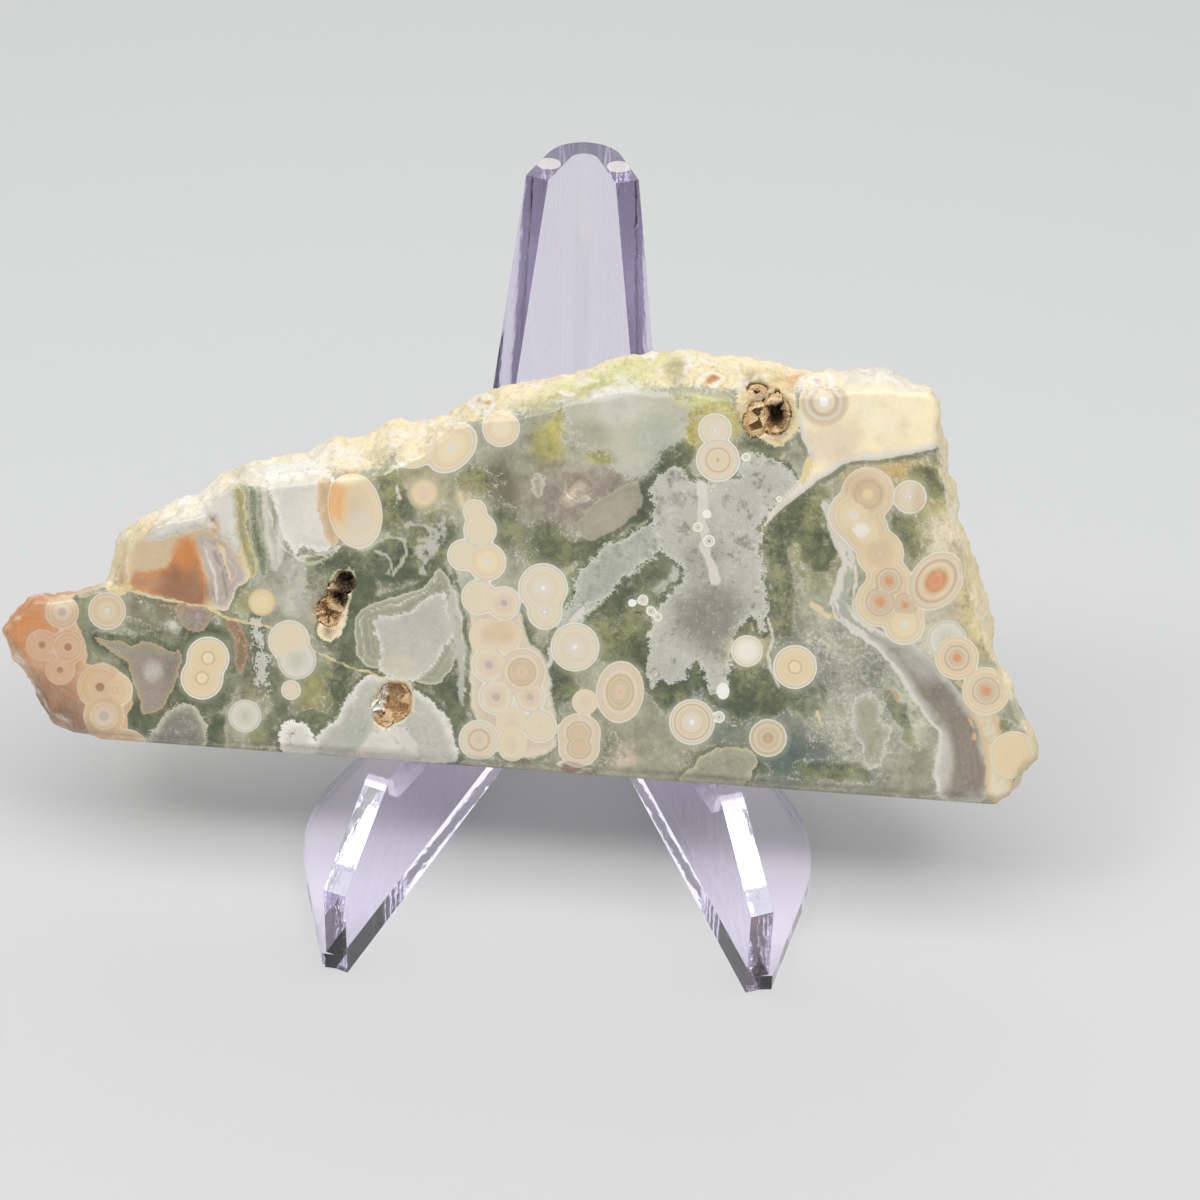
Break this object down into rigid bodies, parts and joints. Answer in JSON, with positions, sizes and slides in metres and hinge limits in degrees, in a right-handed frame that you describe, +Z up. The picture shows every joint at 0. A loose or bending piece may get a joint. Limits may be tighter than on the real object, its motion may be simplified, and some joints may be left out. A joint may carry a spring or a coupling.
{
  "type": "ocean jasper display slab",
  "caption": "Polished slab of orbicular ocean jasper with a broken rough rim and druse pockets, leaning on a clear moulded plastic display easel.",
  "frame": {"origin": "on the table, under the middle of the whole object's box", "axes": "+Z up, the polished face and the easel's two noses look along -Y, +X is to the right of someone facing them"},
  "size_m": [0.1378, 0.069, 0.088],
  "materials": {
    "jasper": "polished face, rough broken rim",
    "druse": "small sparkling iron-stained quartz crystals",
    "clear_plastic": "clear moulded plastic with a faint lilac tint"
  },
  "bodies": {
    "root": {"display_easel": "clear_plastic", "jasper_slab": "jasper", "pocket_druse_top": "druse", "pocket_druse_slit": "druse", "pocket_druse_middle": "druse"}
  },
  "joints": []
}
